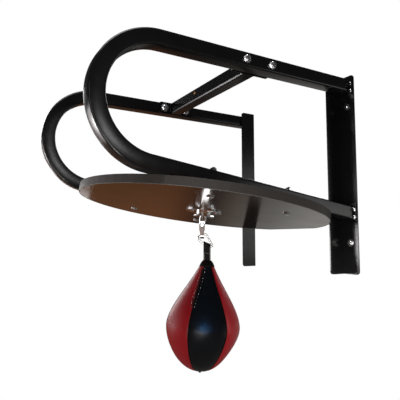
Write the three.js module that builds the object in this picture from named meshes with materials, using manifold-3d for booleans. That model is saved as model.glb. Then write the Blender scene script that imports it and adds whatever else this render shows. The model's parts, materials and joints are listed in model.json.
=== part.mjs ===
// Wall-hung speed bag platform, built as separate parts.
// Millimetres. +Z up, the wall is the plane Y = 0 and the room is at -Y.
// Origin: on the wall plane, midway between the wall angles, level with their lower ends.

import * as THREE from 'three';
import { mergeVertices } from 'three/addons/utils/BufferGeometryUtils.js';
import Module from 'manifold-3d';

const wasm = await Module();
wasm.setup();

// ---------------------------------------------------------------- driving dimensions

const GAP = 0.3; // clearance left between parts that touch

// wall angles (steel angle, one each side)
const ANGLE_LENGTH = 489;
const ANGLE_THICK = 3;
const ANGLE_INNER_X = 180; // inner face of the flange that stands off the wall
const ANGLE_WALL_LEG = 45;
const ANGLE_ROOM_LEG = 48;
const ANGLE_CORNER = 8;
const WALL_SCREW_X = 204;
const WALL_SCREW_Z = [75.5, 411.5];
const WALL_HOLE_R = 4.3;

// bent side frames (rectangular tube)
const TUBE_WIDE = 34;
const TUBE_DEEP = 32;
const TUBE_WALL = 2;
const TUBE_CORNER = 4;
const FRAME_X = 200.5; // centre plane of each side frame
const TOP_RUN_Z = 462.8;
const BEND_R = 120.4; // centreline radius of the front bend
const BEND_CENTRE_U = 517.9; // distance of the bend centre from the wall
const DECK_TILT = THREE.MathUtils.degToRad(8.14); // the lower run climbs towards the room
const TOP_RUN_END = 22; // tube ends, measured from the wall
const LOW_RUN_END = 13;
const BEND_STEPS = 20;

// end brackets that join each tube end to its wall angle
const BRACKET_THICK = 4;
const BRACKET_WIDE = 39;
const BRACKET_TALL = 42;
const SPIGOT_LONG = 34;
const SPIGOT_CLEAR = 0.7;
const END_BOLT_X = 219.4;
const END_BOLT_PITCH = 18;
const END_BOLT_TOP_Z = 456;
const END_BOLT_LOW_Z = 146;

// cross brace and its plates
const BRACE_U = 286;
const BRACE_SIZE = 32;
const BRACE_PLATE_THICK = 3;
const BRACE_PLATE_LONG = 100;
const BRACE_PLATE_TALL = 34;
const BRACE_BOLT_PITCH = 68;
const BRACE_WASHER_R = 11.5;
const WASHER_THICK = 1.6;

// M8 hardware
const M8_R = 4;
const M8_HOLE_R = 4.4;

// round board
const BOARD_R = 305;
const BOARD_THICK = 18;
const BAND_THICK = 1.2;
const BOARD_CENTRE_U = 294;
const BOARD_REAR_CLEAR = 4; // the rim is cut flat this far from the wall
const BOARD_BOLT_U = [201.6, 399];

// swivel
const PLATE_R = 44;
const PLATE_THICK = 3;
const PLATE_SCREW_R = 33;
const RIVET_DROP = 35.5; // board underside to rivet, square to the board
const STIRRUP_DROP = 24.8; // rivet to the link's seat
const SWING_YAW = THREE.MathUtils.degToRad(60); // direction the stirrup faces at rest

// link and bag
const WIRE_R = 2.2;
const STRAP_WIDE = 17.6;
const STRAP_THICK = 2.6;
const BAG_LENGTH = 260;
const BAG_R = 90;
const BAG_SKIN = 2.2;
const BAG_LEAN = THREE.MathUtils.degToRad(3.96);
const BAG_TOP = { across: 12.5, down: 68 }; // from the link's seat to the bag's neck
const PANEL_COUNT = 6;
const PANEL_PHASE = THREE.MathUtils.degToRad(7);

// ---------------------------------------------------------------- derived positions

const FLANGE_OUTER_X = ANGLE_INNER_X + ANGLE_THICK;
const TUBE_INNER_X = FRAME_X - TUBE_WIDE / 2;
const TUBE_OUTER_X = FRAME_X + TUBE_WIDE / 2;
const BEND_CENTRE_Z = TOP_RUN_Z - BEND_R;
const SIN = Math.sin(DECK_TILT);
const COS = Math.cos(DECK_TILT);
const TAN = Math.tan(DECK_TILT);

// lower tangent point of the bend, then the lower run's centreline height at the wall
const LOW_TANGENT_U = BEND_CENTRE_U + BEND_R * SIN;
const LOW_TANGENT_Z = BEND_CENTRE_Z - BEND_R * COS;
const LOW_RUN_WALL_Z = LOW_TANGENT_Z - TAN * LOW_TANGENT_U;

// deck frame: origin in the board's top face, x across, y towards the wall, z square to the board
const DECK_TOP_Z = LOW_RUN_WALL_Z - (TUBE_DEEP / 2 + GAP) / COS + TAN * BOARD_CENTRE_U;
const deck = new THREE.Matrix4()
  .makeTranslation(0, -BOARD_CENTRE_U, DECK_TOP_Z)
  .multiply(new THREE.Matrix4().makeRotationX(-DECK_TILT));
const deckY = (u) => (BOARD_CENTRE_U - u) / COS;

// hanging column
const downDeck = new THREE.Vector3(0, 0, -1).transformDirection(deck);
const swivelFoot = new THREE.Vector3(0, 0, -BOARD_THICK).applyMatrix4(deck);
const rivet = swivelFoot.clone().addScaledVector(downDeck, RIVET_DROP);
const seat = rivet.clone().add(new THREE.Vector3(0, 0, -STIRRUP_DROP));
const hang = new THREE.Matrix4()
  .makeTranslation(seat.x, seat.y, seat.z)
  .multiply(new THREE.Matrix4().makeRotationZ(SWING_YAW));
const bagFrame = hang.clone()
  .multiply(new THREE.Matrix4().makeTranslation(BAG_TOP.across, 0, -BAG_TOP.down))
  .multiply(new THREE.Matrix4().makeRotationY(BAG_LEAN));

// ---------------------------------------------------------------- solid helpers

function toSolid(geometry) {
  let g = geometry.clone();
  for (const key of Object.keys(g.attributes)) {
    if (key !== 'position') g.deleteAttribute(key);
  }
  g = mergeVertices(g, 1e-4);
  const pos = g.attributes.position;
  const tri = Array.from(g.index.array);
  const a = new THREE.Vector3();
  const b = new THREE.Vector3();
  const c = new THREE.Vector3();
  const kept = [];
  let volume = 0;
  for (let i = 0; i < tri.length; i += 3) {
    const [p, q, r] = [tri[i], tri[i + 1], tri[i + 2]];
    if (p === q || q === r || r === p) continue;
    a.fromBufferAttribute(pos, p);
    b.fromBufferAttribute(pos, q);
    c.fromBufferAttribute(pos, r);
    volume += a.dot(b.cross(c));
    kept.push(p, q, r);
  }
  if (volume < 0) {
    for (let i = 0; i < kept.length; i += 3) {
      const swap = kept[i];
      kept[i] = kept[i + 1];
      kept[i + 1] = swap;
    }
  }
  return new wasm.Manifold(new wasm.Mesh({
    numProp: 3,
    vertProperties: new Float32Array(pos.array),
    triVerts: new Uint32Array(kept),
  }));
}

function toGeometry(solid) {
  const mesh = solid.getMesh();
  const g = new THREE.BufferGeometry();
  g.setAttribute('position', new THREE.BufferAttribute(new Float32Array(mesh.vertProperties), 3));
  g.setIndex(new THREE.BufferAttribute(new Uint32Array(mesh.triVerts), 1));
  g.computeVertexNormals();
  return g;
}

const moved = (geometry, matrix) => geometry.clone().applyMatrix4(matrix);
const shifted = (geometry, x, y, z) => geometry.clone().translate(x, y, z);
const box = (x0, x1, y0, y1, z0, z1) => new THREE.BoxGeometry(x1 - x0, y1 - y0, z1 - z0)
  .translate((x0 + x1) / 2, (y0 + y1) / 2, (z0 + z1) / 2);
const rodX = (r, x0, x1, y, z, sides = 14) => new THREE.CylinderGeometry(r, r, x1 - x0, sides)
  .rotateZ(Math.PI / 2).translate((x0 + x1) / 2, y, z);
const rodY = (r, y0, y1, x, z, sides = 14) => new THREE.CylinderGeometry(r, r, y1 - y0, sides)
  .translate(x, (y0 + y1) / 2, z);
const rodZ = (r, z0, z1, x, y, sides = 14) => new THREE.CylinderGeometry(r, r, z1 - z0, sides)
  .rotateX(Math.PI / 2).translate(x, y, (z0 + z1) / 2);

function cut(body, ...tools) {
  let out = toSolid(body);
  for (const tool of tools) out = out.subtract(toSolid(tool));
  return toGeometry(out);
}

function join(...bodies) {
  let out = toSolid(bodies[0]);
  for (const body of bodies.slice(1)) out = out.add(toSolid(body));
  return toGeometry(out);
}

// turned body: profile of [radius, height] pairs revolved about Z
function turned(profile, sides) {
  const points = profile.map(([r, z]) => new THREE.Vector2(r, z));
  return new THREE.LatheGeometry(points, sides).rotateX(Math.PI / 2);
}

function roundedRect(wide, tall, r, steps = 2) {
  const s = new THREE.Shape();
  const w = wide / 2;
  const h = tall / 2;
  for (const [x, y, a] of [[w - r, h - r, 0], [r - w, h - r, 1], [r - w, r - h, 2], [w - r, r - h, 3]]) {
    for (let i = 0; i <= steps; i += 1) {
      const t = (a + i / steps) * Math.PI / 2;
      const px = x + r * Math.cos(t);
      const py = y + r * Math.sin(t);
      if (a === 0 && i === 0) s.moveTo(px, py);
      else s.lineTo(px, py);
    }
  }
  s.closePath();
  return s;
}

// a curve given by stations, so a sweep puts a ring exactly at each one
class StationCurve extends THREE.Curve {
  constructor(points, tangents) {
    super();
    this.points = points;
    this.tangents = tangents;
  }

  index(t) { return Math.round(t * (this.points.length - 1)); }

  getPoint(t, target = new THREE.Vector3()) { return target.copy(this.points[this.index(t)]); }

  getPointAt(t, target = new THREE.Vector3()) { return this.getPoint(t, target); }

  getTangentAt(t, target = new THREE.Vector3()) { return target.copy(this.tangents[this.index(t)]); }

  getSpacedPoints() { return this.points.map((p) => p.clone()); }
}

function sweep(shape, points, tangents) {
  return new THREE.ExtrudeGeometry(shape, {
    steps: points.length - 1,
    extrudePath: new StationCurve(points, tangents),
    curveSegments: 4,
  });
}

// closed ring of wire through rounded corners in the x-z plane, each corner [x, z, radius]
function wireRing(corners, r, sides, cornerSteps) {
  const points = [];
  const tangents = [];
  const n = corners.length;
  const at = (i) => new THREE.Vector3(corners[(i + n) % n][0], 0, corners[(i + n) % n][1]);
  for (let i = 0; i < n; i += 1) {
    const here = at(i);
    const inDir = here.clone().sub(at(i - 1)).normalize();
    const outDir = at(i + 1).sub(here).normalize();
    const turn = Math.acos(THREE.MathUtils.clamp(inDir.dot(outDir), -1, 1));
    const cornerR = corners[i][2];
    const start = here.clone().addScaledVector(inDir, -cornerR * Math.tan(turn / 2));
    const side = new THREE.Vector3(inDir.z, 0, -inDir.x);
    if (side.dot(outDir) < 0) side.negate();
    const centre = start.clone().addScaledVector(side, cornerR);
    for (let k = 0; k <= cornerSteps; k += 1) {
      const a = turn * k / cornerSteps;
      points.push(centre.clone()
        .addScaledVector(side, -cornerR * Math.cos(a))
        .addScaledVector(inDir, cornerR * Math.sin(a)));
      tangents.push(inDir.clone().multiplyScalar(Math.cos(a)).addScaledVector(side, Math.sin(a)));
    }
  }
  const count = points.length;
  points.push(points[0].clone());
  tangents.push(tangents[0].clone());
  return new THREE.TubeGeometry(new StationCurve(points, tangents), count, r, sides, true);
}

// ---------------------------------------------------------------- hardware, built along +Z

// hex head bolt: the head sits above z = 0 and the shank runs down to -length
function hexBolt(acrossFlats, headTall, shankR, length) {
  const r = acrossFlats / Math.sqrt(3);
  const head = toSolid(rodZ(r, 0, headTall, 0, 0, 6));
  const dome = toSolid(turned([
    [0, -1], [r * 1.02, -1], [r * 1.02, headTall * 0.72], [r * 0.8, headTall], [0, headTall],
  ], 12));
  const shank = toSolid(rodZ(shankR, -length, 0.5, 0, 0, 10));
  return toGeometry(head.intersect(dome).add(shank));
}

// hex head bolt with a plain washer under its head; the washer rests on z = 0
function washeredBolt(acrossFlats, headTall, shankR, length, washerR) {
  const bolt = hexBolt(acrossFlats, headTall, shankR, length + WASHER_THICK);
  return join(
    shifted(bolt, 0, 0, WASHER_THICK),
    rodZ(washerR, 0, WASHER_THICK + 0.2, 0, 0, 18),
  );
}

// hex nut with a washer face, threaded over a shank of radius shankR
function flangeNut(acrossFlats, tall, washerR, washerThick, shankR) {
  const r = acrossFlats / Math.sqrt(3);
  const hex = toSolid(rodZ(r, 0, tall, 0, 0, 6));
  const trim = toSolid(turned([
    [0, -1], [r * 1.02, -1], [r * 1.02, tall * 0.8], [r * 0.85, tall], [0, tall],
  ], 12));
  const washer = toSolid(rodZ(washerR, 0, washerThick, 0, 0, 18));
  const bore = toSolid(rodZ(shankR, -1, tall + 1, 0, 0, 14));
  return toGeometry(hex.intersect(trim).add(washer).subtract(bore));
}

// round-head bolt with a low dome, for a through bolt
function domeBolt(headR, headTall, shankR, length) {
  return turned([
    [0, -length], [shankR, -length], [shankR, 0], [headR, 0], [headR, headTall * 0.35],
    [headR * 0.6, headTall * 0.88], [0, headTall],
  ], 14);
}

// ---------------------------------------------------------------- looks

const paint = (hex, roughness) => () => new THREE.MeshStandardMaterial({
  color: hex, roughness, metalness: 0.2,
});
const metal = (hex, roughness) => () => new THREE.MeshStandardMaterial({
  color: hex, roughness, metalness: 1,
});
const soft = (hex, roughness) => () => new THREE.MeshStandardMaterial({
  color: hex, roughness, metalness: 0,
});
const BLACK_FRAME = paint(0x1a1a1c, 0.42);
const ZINC = metal(0xc9cccf, 0.22);
const CHROME = metal(0xdfe2e6, 0.1);
const BOARD = soft(0x4b3f37, 0.28);
const BAND = soft(0x3e3c3a, 0.5);
const RED = soft(0x931a24, 0.4);
const BLACK_HIDE = soft(0x111113, 0.38);
const RUBBER = soft(0x2a2826, 0.7);

const model = new THREE.Group();
model.name = 'speed_bag_platform';

// every body goes through the solid kernel once, which also turns its faces outward
function add(name, geometry, look) {
  const mesh = new THREE.Mesh(toGeometry(toSolid(geometry)), look());
  mesh.name = name;
  model.add(mesh);
}

const SIDES = [['right', 1], ['left', -1]];

// mirror a right-hand body to the left and keep its faces outward
function sided(geometry, side) {
  if (side > 0) return geometry;
  return toGeometry(toSolid(geometry.clone().scale(-1, 1, 1)));
}

// ---------------------------------------------------------------- wall angles

function wallAngle() {
  const c = ANGLE_CORNER;
  const L = ANGLE_LENGTH;
  const plateOutline = (wide) => {
    const s = new THREE.Shape();
    s.moveTo(0, 0);
    s.lineTo(wide - c, 0);
    s.absarc(wide - c, c, c, -Math.PI / 2, 0, false);
    s.lineTo(wide, L - c);
    s.absarc(wide - c, L - c, c, 0, Math.PI / 2, false);
    s.lineTo(0, L);
    s.closePath();
    return s;
  };
  const opts = { depth: ANGLE_THICK, bevelEnabled: false, curveSegments: 4 };
  // wall leg: outline x across, y up, extruded from the wall towards the room
  const wallLeg = new THREE.ExtrudeGeometry(plateOutline(ANGLE_WALL_LEG), opts)
    .rotateX(Math.PI / 2)
    .translate(ANGLE_INNER_X, 0, 0);
  // room leg: outline x towards the room
  const roomLeg = new THREE.ExtrudeGeometry(plateOutline(ANGLE_ROOM_LEG), opts)
    .rotateX(Math.PI / 2)
    .rotateZ(-Math.PI / 2)
    .translate(ANGLE_INNER_X, 0, 0);
  const holes = WALL_SCREW_Z.map((z) => rodY(WALL_HOLE_R, -20, 20, WALL_SCREW_X, z));
  for (const z0 of [END_BOLT_TOP_Z, END_BOLT_LOW_Z]) {
    for (const k of [-0.5, 0.5]) holes.push(rodY(3.3, -20, 20, END_BOLT_X, z0 + k * END_BOLT_PITCH, 14));
  }
  return cut(join(wallLeg, roomLeg), ...holes);
}

const angle = wallAngle();
for (const [name, side] of SIDES) add(`wall_angle_${name}`, sided(angle, side), BLACK_FRAME);

const wallScrew = new THREE.Matrix4().makeRotationX(Math.PI / 2);
for (const [name, side] of SIDES) {
  WALL_SCREW_Z.forEach((z, i) => {
    const screw = washeredBolt(11, 5, 3.4, ANGLE_THICK - GAP, 9);
    const at = new THREE.Matrix4()
      .makeTranslation(side * WALL_SCREW_X, -(ANGLE_THICK + GAP), z)
      .multiply(wallScrew);
    add(`wall_screw_${i === 0 ? 'low' : 'top'}_${name}`, moved(screw, at), ZINC);
  });
}

// ---------------------------------------------------------------- side frames

function sideStations(overrun) {
  const points = [];
  const tangents = [];
  const put = (u, z, du, dz) => {
    points.push(new THREE.Vector3(0, -u, z));
    tangents.push(new THREE.Vector3(0, -du, dz).normalize());
  };
  put(TOP_RUN_END - overrun, TOP_RUN_Z, 1, 0);
  const sweepAngle = Math.PI - DECK_TILT;
  for (let i = 0; i <= BEND_STEPS; i += 1) {
    const a = Math.PI / 2 - sweepAngle * i / BEND_STEPS;
    put(
      BEND_CENTRE_U + BEND_R * Math.cos(a),
      BEND_CENTRE_Z + BEND_R * Math.sin(a),
      Math.sin(a),
      -Math.cos(a),
    );
  }
  const lowEnd = LOW_RUN_END - 8 - overrun;
  put(lowEnd, LOW_RUN_WALL_Z + TAN * lowEnd, -COS, -SIN);
  return [points, tangents];
}

function sideFrame() {
  // the sweep's own frame puts the outline's first axis across or in plane: find which
  const [points, tangents] = sideStations(0);
  const probe = new StationCurve(points, tangents).computeFrenetFrames(points.length - 1, false);
  const across = Math.abs(probe.normals[0].x) > 0.5;
  const outline = (w, d, r) => (across ? roundedRect(w, d, r) : roundedRect(d, w, r));
  const outer = sweep(outline(TUBE_WIDE, TUBE_DEEP, TUBE_CORNER), points, tangents);
  const [p2, t2] = sideStations(6);
  const t = 2 * TUBE_WALL;
  const inner = sweep(outline(TUBE_WIDE - t, TUBE_DEEP - t, TUBE_CORNER - TUBE_WALL + 0.5), p2, t2);
  const tools = [inner, box(-40, 40, -LOW_RUN_END, 60, -60, 260)];
  for (const k of [-0.5, 0.5]) {
    tools.push(rodX(M8_HOLE_R, -40, 40, -(BRACE_U + k * BRACE_BOLT_PITCH), TOP_RUN_Z, 16));
  }
  for (const u of BOARD_BOLT_U) {
    const hole = rodZ(M8_HOLE_R, -5, TUBE_DEEP + 12, 0, deckY(u), 16);
    tools.push(moved(hole, deck));
  }
  return cut(outer, ...tools).translate(FRAME_X, 0, 0);
}

const frameRight = sideFrame();
for (const [name, side] of SIDES) add(`side_frame_${name}`, sided(frameRight, side), BLACK_FRAME);

// ---------------------------------------------------------------- end brackets and bolts

const BRACKET_FRONT = ANGLE_THICK + GAP + BRACKET_THICK;

function endBracket(tubeZ, tilt, boltZ) {
  const x0 = FLANGE_OUTER_X + GAP + 0.7;
  const plate = box(
    x0, x0 + BRACKET_WIDE, -BRACKET_FRONT, -(ANGLE_THICK + GAP),
    boltZ - BRACKET_TALL / 2 + 4, boltZ + BRACKET_TALL / 2 + 4,
  );
  const w = TUBE_WIDE - 2 * TUBE_WALL - 2 * SPIGOT_CLEAR;
  const d = TUBE_DEEP - 2 * TUBE_WALL - 2 * SPIGOT_CLEAR;
  const spigot = new THREE.ExtrudeGeometry(roundedRect(w, d, 2.2, 2), {
    depth: SPIGOT_LONG, bevelEnabled: false,
  })
    .rotateX(Math.PI / 2)
    .translate(0, -(BRACKET_FRONT - 1.5), 0)
    .rotateX(-tilt)
    .translate(FRAME_X, 0, tubeZ);
  const trimmed = cut(spigot, box(FRAME_X - 40, FRAME_X + 40, -(BRACKET_FRONT - 1), 60, tubeZ - 60, tubeZ + 60));
  const holes = [-0.5, 0.5].map((k) => rodY(3.3, -30, 5, END_BOLT_X, boltZ + k * END_BOLT_PITCH, 14));
  return cut(join(plate, trimmed), ...holes);
}

const endBolt = hexBolt(9, 3.8, 3, BRACKET_THICK + ANGLE_THICK - 0.3);
const ENDS = [
  ['top', TOP_RUN_Z, 0, END_BOLT_TOP_Z],
  ['low', LOW_RUN_WALL_Z, DECK_TILT, END_BOLT_LOW_Z],
];
for (const [level, tubeZ, tilt, boltZ] of ENDS) {
  const bracket = endBracket(tubeZ, tilt, boltZ);
  for (const [name, side] of SIDES) {
    add(`end_bracket_${level}_${name}`, sided(bracket, side), BLACK_FRAME);
    ['a', 'b'].forEach((tag, i) => {
      const at = new THREE.Matrix4()
        .makeTranslation(side * END_BOLT_X, -(BRACKET_FRONT + GAP), boltZ + (0.5 - i) * END_BOLT_PITCH)
        .multiply(wallScrew);
      add(`end_bolt_${level}_${tag}_${name}`, moved(endBolt, at), ZINC);
    });
  }
}

// ---------------------------------------------------------------- cross brace

const plateOuter = TUBE_INNER_X - GAP;
const plateInner = plateOuter - BRACE_PLATE_THICK;
const braceHalf = plateInner - GAP;
const braceOutline = roundedRect(BRACE_SIZE, BRACE_SIZE, TUBE_CORNER);
const braceHollow = roundedRect(BRACE_SIZE - 2 * TUBE_WALL, BRACE_SIZE - 2 * TUBE_WALL, 2.5);
const brace = cut(
  new THREE.ExtrudeGeometry(braceOutline, { depth: 2 * braceHalf, bevelEnabled: false })
    .translate(0, 0, -braceHalf).rotateY(Math.PI / 2),
  new THREE.ExtrudeGeometry(braceHollow, { depth: 2 * braceHalf + 20, bevelEnabled: false })
    .translate(0, 0, -braceHalf - 10).rotateY(Math.PI / 2),
);
add('cross_brace', shifted(brace, 0, -BRACE_U, TOP_RUN_Z), BLACK_FRAME);

const bracePlateShape = roundedRect(BRACE_PLATE_TALL, BRACE_PLATE_LONG, 5, 2);
const bracePlate = cut(
  new THREE.ExtrudeGeometry(bracePlateShape, { depth: BRACE_PLATE_THICK, bevelEnabled: false })
    .rotateY(Math.PI / 2)
    .translate(plateInner, -BRACE_U, TOP_RUN_Z),
  ...[-0.5, 0.5].map((k) => rodX(M8_HOLE_R, 160, 200, -(BRACE_U + k * BRACE_BOLT_PITCH), TOP_RUN_Z, 16)),
);
for (const [name, side] of SIDES) add(`brace_plate_${name}`, sided(bracePlate, side), BLACK_FRAME);

const nutThick = 6.5;
const braceGrip = TUBE_WIDE + BRACE_PLATE_THICK + nutThick + 4;
const braceBolt = washeredBolt(13, 4.6, M8_R, braceGrip, BRACE_WASHER_R);
const m8Nut = flangeNut(13, nutThick, 9.5, WASHER_THICK, M8_R + 0.25);
for (const [name, side] of SIDES) {
  ['front', 'rear'].forEach((tag, i) => {
    const y = -(BRACE_U + (0.5 - i) * BRACE_BOLT_PITCH);
    const inward = new THREE.Matrix4().makeRotationY(-side * Math.PI / 2);
    const outward = new THREE.Matrix4().makeRotationY(side * Math.PI / 2);
    const boltAt = new THREE.Matrix4()
      .makeTranslation(side * (plateInner - GAP), y, TOP_RUN_Z).multiply(inward);
    const nutAt = new THREE.Matrix4()
      .makeTranslation(side * (TUBE_OUTER_X + GAP), y, TOP_RUN_Z).multiply(outward);
    add(`brace_bolt_${tag}_${name}`, moved(braceBolt, boltAt), ZINC);
    add(`brace_nut_${tag}_${name}`, moved(m8Nut, nutAt), ZINC);
  });
}

// ---------------------------------------------------------------- board

// round outline with the rim cut flat at the wall side, in the deck frame
function boardOutline(r) {
  const flat = deckY(BOARD_REAR_CLEAR) - (BOARD_R - r) - 0.5 * BOARD_THICK * TAN;
  const half = Math.acos(flat / r);
  const s = new THREE.Shape();
  const steps = 72;
  const from = Math.PI / 2 + half;
  for (let i = 0; i <= steps; i += 1) {
    const a = from + (2 * Math.PI - 2 * half) * i / steps;
    const [x, y] = [r * Math.cos(a), r * Math.sin(a)];
    if (i === 0) s.moveTo(x, y);
    else s.lineTo(x, y);
  }
  s.closePath();
  return s;
}

const slab = (r, thick, z0) => new THREE.ExtrudeGeometry(boardOutline(r), {
  depth: thick, bevelEnabled: false,
}).translate(0, 0, z0);
const boardR = BOARD_R - BAND_THICK - GAP;
const boardHoles = [];
for (const [, side] of SIDES) {
  for (const u of BOARD_BOLT_U) boardHoles.push(rodZ(M8_HOLE_R, -40, 20, side * FRAME_X, deckY(u), 16));
}
const board = cut(slab(boardR, BOARD_THICK, -BOARD_THICK), ...boardHoles);
add('platform_board', moved(board, deck), BOARD);

const band = cut(
  slab(BOARD_R, BOARD_THICK, -BOARD_THICK),
  slab(BOARD_R - BAND_THICK, BOARD_THICK + 4, -BOARD_THICK - 2),
);
add('board_edge_band', moved(band, deck), BAND);

const boardBolt = domeBolt(8, 3.6, M8_R, BOARD_THICK + TUBE_DEEP + nutThick + 3)
  .rotateX(Math.PI)
  .translate(0, 0, -BOARD_THICK - GAP);
for (const [name, side] of SIDES) {
  BOARD_BOLT_U.forEach((u, i) => {
    const tag = i === 0 ? 'rear' : 'front';
    const x = side * FRAME_X;
    add(`board_bolt_${tag}_${name}`, moved(shifted(boardBolt, x, deckY(u), 0), deck), ZINC);
    const nutBase = TUBE_DEEP + 2 * GAP;
    add(`board_nut_${tag}_${name}`, moved(shifted(m8Nut, x, deckY(u), nutBase), deck), ZINC);
  });
}

// ---------------------------------------------------------------- swivel

// swivel frame: origin on the board's underside, z pointing down, square to the board
const swivel = deck.clone()
  .multiply(new THREE.Matrix4().makeTranslation(0, 0, -BOARD_THICK))
  .multiply(new THREE.Matrix4().makeRotationX(Math.PI))
  .multiply(new THREE.Matrix4().makeRotationZ(-SWING_YAW));

const screwSpots = [];
for (let i = 0; i < 3; i += 1) {
  const a = Math.PI / 6 + i * 2 * Math.PI / 3;
  screwSpots.push([PLATE_SCREW_R * Math.cos(a), PLATE_SCREW_R * Math.sin(a)]);
}
const plateBottom = GAP + PLATE_THICK;
const basePlate = cut(
  turned([
    [0, GAP], [PLATE_R, GAP], [PLATE_R, GAP + 1.8], [PLATE_R - 1.5, plateBottom], [0, plateBottom],
  ], 36),
  ...screwSpots.map(([x, y]) => rodZ(2.5, -1, 6, x, y, 14)),
);
add('swivel_plate', moved(basePlate, swivel), CHROME);

const housing = turned([
  [0, plateBottom + GAP], [17, plateBottom + GAP], [17, 12.2], [24, 12.2], [24, 14.8], [22.6, 15.6],
  [8.1, 15.6], [8.1, 12.8], [11.6, 12.8], [11.6, 6.4], [0, 6.4],
], 24);
const lug = rodX(2.6, 14, 26.5, 0, 10, 12);
add('swivel_housing', moved(join(housing, cut(lug, rodZ(12.5, -5, 12.6, 0, 0, 16))), swivel), CHROME);

// the flanged spindle turns in the housing; its tongue hangs plumb below the neck
const spindleTop = turned([
  [0, 7], [11, 7], [11, 12.2], [7.6, 12.2], [7.6, 16.4], [9, 17.4], [9, 25], [7, 27.5], [0, 27.5],
], 24);
const TONGUE_THICK = 7;
const TONGUE_WIDE = 13;
const tongueShape = new THREE.Shape();
tongueShape.moveTo(-TONGUE_WIDE / 2, 13);
tongueShape.lineTo(-TONGUE_WIDE / 2, 0);
tongueShape.absarc(0, 0, TONGUE_WIDE / 2, Math.PI, 2 * Math.PI, false);
tongueShape.lineTo(TONGUE_WIDE / 2, 13);
tongueShape.closePath();
const rivetFrame = new THREE.Matrix4()
  .makeTranslation(rivet.x, rivet.y, rivet.z)
  .multiply(new THREE.Matrix4().makeRotationZ(SWING_YAW));
const tongue = new THREE.ExtrudeGeometry(tongueShape, {
  depth: TONGUE_THICK, bevelEnabled: false, curveSegments: 8,
}).rotateX(Math.PI / 2).translate(0, TONGUE_THICK / 2, 0);
const spindle = cut(
  join(moved(spindleTop, swivel), moved(tongue, rivetFrame)),
  moved(rodY(3.05, -20, 20, 0, 0, 18), rivetFrame),
);
add('swivel_spindle', spindle, CHROME);

const plateScrew = turned([
  [0, -9], [2.2, -9], [2.2, 0], [4.4, 0], [4.4, 0.9], [2.9, 2.2], [0, 2.6],
], 14);
screwSpots.forEach(([x, y], i) => {
  // the head is proud of the plate and the shank runs up to the board's face
  const shank = cut(plateScrew, rodZ(6, -20, -(PLATE_THICK - 0.1), 0, 0, 8));
  add(`swivel_screw_${i + 1}`, moved(shifted(shank, x, y, plateBottom + GAP), swivel), ZINC);
});

// stirrup: a strip folded under the link's seat, riveted through the tongue
const STIRRUP_WIDE = 10;
const STIRRUP_STRIP = 2.4;
const stirrupIn = TONGUE_THICK / 2 + 0.5;
const stirrupOut = stirrupIn + STIRRUP_STRIP;
const bendZ = -2.2;
function stirrupSection(r, top) {
  const s = new THREE.Shape();
  s.moveTo(-r, top);
  s.lineTo(-r, bendZ);
  s.absarc(0, bendZ, r, Math.PI, 2 * Math.PI, false);
  s.lineTo(r, top);
  s.closePath();
  return s;
}
const stripTop = STIRRUP_DROP + 7;
const alongX = (shape, wide) => new THREE.ExtrudeGeometry(shape, {
  depth: wide, bevelEnabled: false, curveSegments: 10,
}).rotateX(Math.PI / 2).rotateZ(Math.PI / 2).translate(-wide / 2, 0, 0);
const legTrim = new THREE.Shape();
legTrim.moveTo(-STIRRUP_WIDE / 2, -20);
legTrim.lineTo(STIRRUP_WIDE / 2, -20);
legTrim.lineTo(STIRRUP_WIDE / 2, 8);
legTrim.lineTo(7, 14);
legTrim.lineTo(7, STIRRUP_DROP);
legTrim.absarc(0, STIRRUP_DROP, 7, 0, Math.PI, false);
legTrim.lineTo(-7, 14);
legTrim.lineTo(-STIRRUP_WIDE / 2, 8);
legTrim.closePath();
const legPlan = new THREE.ExtrudeGeometry(legTrim, {
  depth: 40, bevelEnabled: false, curveSegments: 8,
}).rotateX(Math.PI / 2).translate(0, 20, 0);
const strip = toSolid(cut(
  alongX(stirrupSection(stirrupOut, stripTop), 16),
  alongX(stirrupSection(stirrupIn, stripTop + 5), 20),
));
const stirrup = toGeometry(strip.intersect(toSolid(legPlan))
  .subtract(toSolid(rodY(3.05, -20, 20, 0, STIRRUP_DROP, 18))));
add('swivel_stirrup', moved(stirrup, hang), CHROME);

const rivetHead = 2.2;
const rivetReach = stirrupOut + GAP;
const rivetBody = turned([
  [0, -rivetReach - rivetHead], [3, -rivetReach - rivetHead], [5, -rivetReach - 0.9],
  [5, -rivetReach], [2.95, -rivetReach], [2.95, rivetReach], [5, rivetReach],
  [5, rivetReach + 0.9], [3, rivetReach + rivetHead], [0, rivetReach + rivetHead],
], 18).rotateX(Math.PI / 2);
add('stirrup_rivet', moved(rivetBody, rivetFrame), CHROME);

// ---------------------------------------------------------------- link

const linkCorners = [
  [-9.8, -4, 3.2], [9.5, 3.4, 4.2], [28.6, -30.75, 2.5], [0.5, -19, 3.5], [-7.8, -11, 4],
];
const link = wireRing(linkCorners, WIRE_R, 8, 4);
add('bag_link', moved(link, hang), CHROME);

// ---------------------------------------------------------------- bag loop

// folded strap hung on the link's lower side: the fold follows that side's slope
const foldAt = { x: 12.3, z: -23.93 };
const foldSlope = -10 / 24;
const loopIn = 3.2;
const loopOut = loopIn + STRAP_THICK;
const loopLow = -(BAG_TOP.down + foldAt.z + 7); // the strap ends 7 inside the bag's neck
const loopShape = new THREE.Shape();
loopShape.moveTo(-3.2, loopLow);
loopShape.lineTo(-loopOut * 0.78, loopLow * 0.5);
loopShape.lineTo(-loopOut, 0);
loopShape.absarc(0, 0, loopOut, Math.PI, 0, true);
loopShape.lineTo(loopOut * 0.78, loopLow * 0.5);
loopShape.lineTo(3.2, loopLow);
loopShape.closePath();
const loopHole = new THREE.Path();
loopHole.moveTo(loopIn, 0);
loopHole.absarc(0, 0, loopIn, 0, Math.PI, false);
loopHole.lineTo(-0.6, loopLow * 0.42);
loopHole.lineTo(0.6, loopLow * 0.42);
loopHole.closePath();
loopShape.holes.push(loopHole);
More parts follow.
